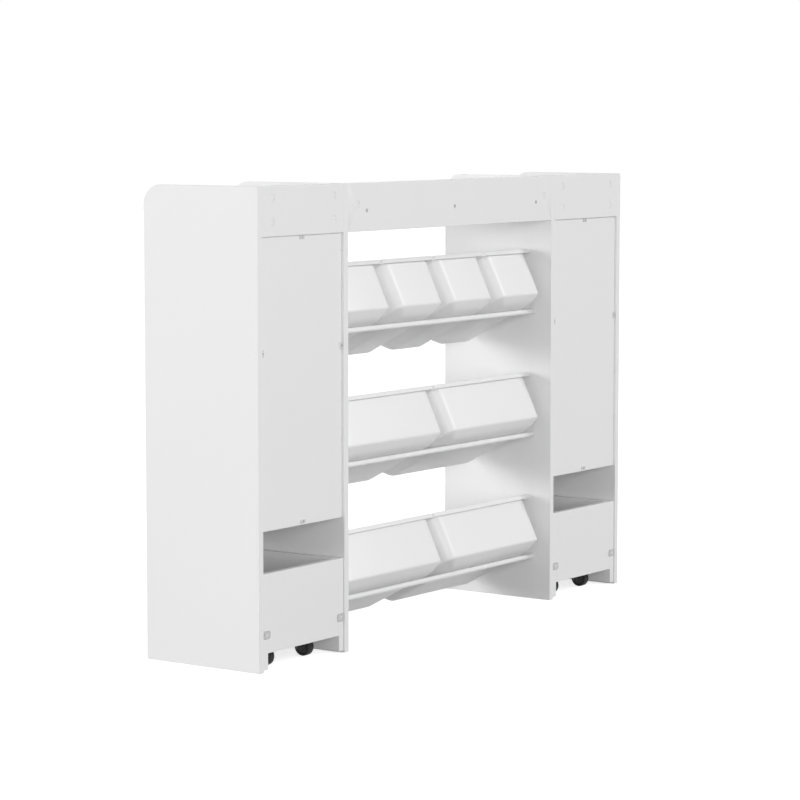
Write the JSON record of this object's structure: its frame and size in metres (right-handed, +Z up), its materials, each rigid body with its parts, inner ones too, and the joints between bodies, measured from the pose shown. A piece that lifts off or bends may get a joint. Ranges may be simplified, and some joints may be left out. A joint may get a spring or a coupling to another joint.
{
  "type": "toy storage organizer with bins",
  "caption": "Toy storage organizer: shelf towers over rolling toy boxes on casters, with tiers of tilted lift-out bins on rods between them.",
  "frame": {"origin": "on the floor under the middle of the unit", "axes": "+X to the right seen from the front, +Y to the back, +Z up"},
  "size_m": [1.427, 0.3, 1],
  "materials": {
    "white_board": "satin",
    "bin_plastic": "satin",
    "white_rod": "satin",
    "caster_black": "satin",
    "caster_tread": "satin",
    "bracket_steel": "satin",
    "clip_plastic": "matt"
  },
  "bodies": {
    "cabinet": {"back_clips": "clip_plastic", "back_panel_left": "white_board", "back_panel_right": "white_board", "box_bay_roof_left": "white_board", "box_bay_roof_right": "white_board", "box_stops": "bracket_steel", "front_rods": "white_rod", "inner_panel_left": "white_board", "inner_panel_right": "white_board", "middle_shelf_left": "white_board", "middle_shelf_right": "white_board", "outer_panel_left": "white_board", "outer_panel_right": "white_board", "rear_rail_centre": "white_board", "rear_rail_left": "white_board", "rear_rail_right": "white_board", "rear_rods": "white_rod", "top_shelf_centre": "white_board", "top_shelf_left": "white_board", "top_shelf_right": "white_board"},
    "bin_bottom_1": {"bin_bottom_1": "bin_plastic"},
    "bin_bottom_2": {"bin_bottom_2": "bin_plastic"},
    "bin_middle_1": {"bin_middle_1": "bin_plastic"},
    "bin_middle_2": {"bin_middle_2": "bin_plastic"},
    "bin_top_1": {"bin_top_1": "bin_plastic"},
    "bin_top_2": {"bin_top_2": "bin_plastic"},
    "bin_top_3": {"bin_top_3": "bin_plastic"},
    "bin_top_4": {"bin_top_4": "bin_plastic"},
    "box_left": {"box_front_left": "white_board", "box_rear_wall_left": "white_board", "box_sides_left": "white_board", "box_floor_left": "white_board", "caster_plates_left": "caster_black"},
    "swivel_left_front_outer": {"caster_fork_left_front_outer": "caster_black"},
    "wheel_left_front_outer": {"caster_wheel_left_front_outer": "caster_tread"},
    "swivel_left_front_inner": {"caster_fork_left_front_inner": "caster_black"},
    "wheel_left_front_inner": {"caster_wheel_left_front_inner": "caster_tread"},
    "swivel_left_rear_outer": {"caster_fork_left_rear_outer": "caster_black"},
    "wheel_left_rear_outer": {"caster_wheel_left_rear_outer": "caster_tread"},
    "swivel_left_rear_inner": {"caster_fork_left_rear_inner": "caster_black"},
    "wheel_left_rear_inner": {"caster_wheel_left_rear_inner": "caster_tread"},
    "box_right": {"box_front_right": "white_board", "box_rear_wall_right": "white_board", "box_sides_right": "white_board", "box_floor_right": "white_board", "caster_plates_right": "caster_black"},
    "swivel_right_front_outer": {"caster_fork_right_front_outer": "caster_black"},
    "wheel_right_front_outer": {"caster_wheel_right_front_outer": "caster_tread"},
    "swivel_right_front_inner": {"caster_fork_right_front_inner": "caster_black"},
    "wheel_right_front_inner": {"caster_wheel_right_front_inner": "caster_tread"},
    "swivel_right_rear_outer": {"caster_fork_right_rear_outer": "caster_black"},
    "wheel_right_rear_outer": {"caster_wheel_right_rear_outer": "caster_tread"},
    "swivel_right_rear_inner": {"caster_fork_right_rear_inner": "caster_black"},
    "wheel_right_rear_inner": {"caster_wheel_right_rear_inner": "caster_tread"}
  },
  "joints": [
    {"name": "bin_bottom_1_lift", "type": "slide", "parent": "cabinet", "child": "bin_bottom_1", "axis": [0, -0.4772, 0.8788], "range_m": [0, 0.1]},
    {"name": "bin_bottom_2_lift", "type": "slide", "parent": "cabinet", "child": "bin_bottom_2", "axis": [0, -0.4772, 0.8788], "range_m": [0, 0.1]},
    {"name": "bin_middle_1_lift", "type": "slide", "parent": "cabinet", "child": "bin_middle_1", "axis": [0, -0.4772, 0.8788], "range_m": [0, 0.1]},
    {"name": "bin_middle_2_lift", "type": "slide", "parent": "cabinet", "child": "bin_middle_2", "axis": [0, -0.4772, 0.8788], "range_m": [0, 0.1]},
    {"name": "bin_top_1_lift", "type": "slide", "parent": "cabinet", "child": "bin_top_1", "axis": [0, -0.4772, 0.8788], "range_m": [0, 0.1]},
    {"name": "bin_top_2_lift", "type": "slide", "parent": "cabinet", "child": "bin_top_2", "axis": [0, -0.4772, 0.8788], "range_m": [0, 0.1]},
    {"name": "bin_top_3_lift", "type": "slide", "parent": "cabinet", "child": "bin_top_3", "axis": [0, -0.4772, 0.8788], "range_m": [0, 0.1]},
    {"name": "bin_top_4_lift", "type": "slide", "parent": "cabinet", "child": "bin_top_4", "axis": [0, -0.4772, 0.8788], "range_m": [0, 0.1]},
    {"name": "box_left_roll_out", "type": "slide", "parent": "cabinet", "child": "box_left", "axis": [0, -1, 0], "range_m": [0, 0.3]},
    {"name": "swivel_left_front_outer_turn", "type": "hinge", "parent": "box_left", "child": "swivel_left_front_outer", "pos_m": [-0.6265, -0.102, 0.0455], "axis": [0, 0, 1], "continuous": true},
    {"name": "wheel_left_front_outer_spin", "type": "hinge", "parent": "swivel_left_front_outer", "child": "wheel_left_front_outer", "pos_m": [-0.6265, -0.112, 0.02], "axis": [1, 0, 0], "continuous": true},
    {"name": "swivel_left_front_inner_turn", "type": "hinge", "parent": "box_left", "child": "swivel_left_front_inner", "pos_m": [-0.4895, -0.102, 0.0455], "axis": [0, 0, 1], "continuous": true},
    {"name": "wheel_left_front_inner_spin", "type": "hinge", "parent": "swivel_left_front_inner", "child": "wheel_left_front_inner", "pos_m": [-0.4895, -0.112, 0.02], "axis": [1, 0, 0], "continuous": true},
    {"name": "swivel_left_rear_outer_turn", "type": "hinge", "parent": "box_left", "child": "swivel_left_rear_outer", "pos_m": [-0.6265, 0.106, 0.0455], "axis": [0, 0, 1], "continuous": true},
    {"name": "wheel_left_rear_outer_spin", "type": "hinge", "parent": "swivel_left_rear_outer", "child": "wheel_left_rear_outer", "pos_m": [-0.6265, 0.096, 0.02], "axis": [1, 0, 0], "continuous": true},
    {"name": "swivel_left_rear_inner_turn", "type": "hinge", "parent": "box_left", "child": "swivel_left_rear_inner", "pos_m": [-0.4895, 0.106, 0.0455], "axis": [0, 0, 1], "continuous": true},
    {"name": "wheel_left_rear_inner_spin", "type": "hinge", "parent": "swivel_left_rear_inner", "child": "wheel_left_rear_inner", "pos_m": [-0.4895, 0.096, 0.02], "axis": [1, 0, 0], "continuous": true},
    {"name": "box_right_roll_out", "type": "slide", "parent": "cabinet", "child": "box_right", "axis": [0, -1, 0], "range_m": [0, 0.3]},
    {"name": "swivel_right_front_outer_turn", "type": "hinge", "parent": "box_right", "child": "swivel_right_front_outer", "pos_m": [0.6265, -0.102, 0.0455], "axis": [0, 0, 1], "continuous": true},
    {"name": "wheel_right_front_outer_spin", "type": "hinge", "parent": "swivel_right_front_outer", "child": "wheel_right_front_outer", "pos_m": [0.6265, -0.112, 0.02], "axis": [1, 0, 0], "continuous": true},
    {"name": "swivel_right_front_inner_turn", "type": "hinge", "parent": "box_right", "child": "swivel_right_front_inner", "pos_m": [0.4895, -0.102, 0.0455], "axis": [0, 0, 1], "continuous": true},
    {"name": "wheel_right_front_inner_spin", "type": "hinge", "parent": "swivel_right_front_inner", "child": "wheel_right_front_inner", "pos_m": [0.4895, -0.112, 0.02], "axis": [1, 0, 0], "continuous": true},
    {"name": "swivel_right_rear_outer_turn", "type": "hinge", "parent": "box_right", "child": "swivel_right_rear_outer", "pos_m": [0.6265, 0.106, 0.0455], "axis": [0, 0, 1], "continuous": true},
    {"name": "wheel_right_rear_outer_spin", "type": "hinge", "parent": "swivel_right_rear_outer", "child": "wheel_right_rear_outer", "pos_m": [0.6265, 0.096, 0.02], "axis": [1, 0, 0], "continuous": true},
    {"name": "swivel_right_rear_inner_turn", "type": "hinge", "parent": "box_right", "child": "swivel_right_rear_inner", "pos_m": [0.4895, 0.106, 0.0455], "axis": [0, 0, 1], "continuous": true},
    {"name": "wheel_right_rear_inner_spin", "type": "hinge", "parent": "swivel_right_rear_inner", "child": "wheel_right_rear_inner", "pos_m": [0.4895, 0.096, 0.02], "axis": [1, 0, 0], "continuous": true}
  ]
}
